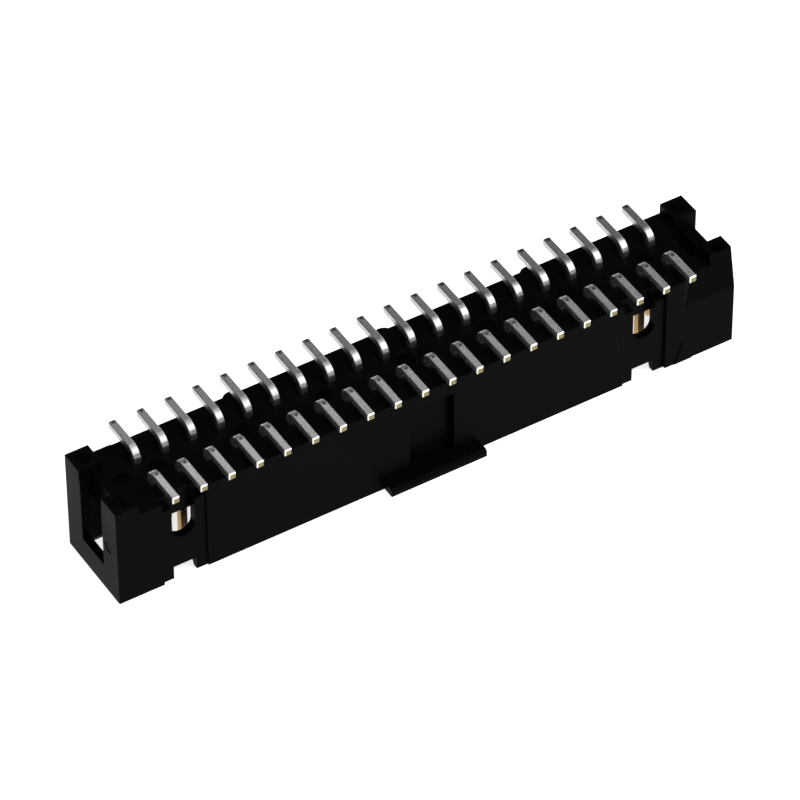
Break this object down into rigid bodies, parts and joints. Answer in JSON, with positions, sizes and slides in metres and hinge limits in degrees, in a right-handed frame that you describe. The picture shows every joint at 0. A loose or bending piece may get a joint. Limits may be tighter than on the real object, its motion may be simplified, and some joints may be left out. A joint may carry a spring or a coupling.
{
  "type": "idc box header",
  "caption": "Shrouded surface-mount box header with two rows of gull-wing contacts, corner posts, a keyed wall and a rectangular mating mouth.",
  "frame": {"origin": "centre of the contact grid in the plane of the mating mouth, which is the face that the header rests on", "axes": "+X along the contact rows towards the first contact's end, +Y towards the plain wall, +Z towards the solder side"},
  "size_m": [0.058, 0.0104, 0.0102],
  "materials": {
    "housing": "black moulded thermoplastic, satin to glossy",
    "contact": "square copper-alloy wire, gold on the mating end and bright tin on the solder tail"
  },
  "bodies": {
    "root": {"housing": "housing", "contact_near_01": "contact", "contact_near_02": "contact", "contact_near_03": "contact", "contact_near_04": "contact", "contact_near_05": "contact", "contact_near_06": "contact", "contact_near_07": "contact", "contact_near_08": "contact", "contact_near_09": "contact", "contact_near_10": "contact", "contact_near_11": "contact", "contact_near_12": "contact", "contact_near_13": "contact", "contact_near_14": "contact", "contact_near_15": "contact", "contact_near_16": "contact", "contact_near_17": "contact", "contact_near_18": "contact", "contact_near_19": "contact", "contact_near_20": "contact", "contact_far_01": "contact", "contact_far_02": "contact", "contact_far_03": "contact", "contact_far_04": "contact", "contact_far_05": "contact", "contact_far_06": "contact", "contact_far_07": "contact", "contact_far_08": "contact", "contact_far_09": "contact", "contact_far_10": "contact", "contact_far_11": "contact", "contact_far_12": "contact", "contact_far_13": "contact", "contact_far_14": "contact", "contact_far_15": "contact", "contact_far_16": "contact", "contact_far_17": "contact", "contact_far_18": "contact", "contact_far_19": "contact", "contact_far_20": "contact"}
  },
  "joints": []
}
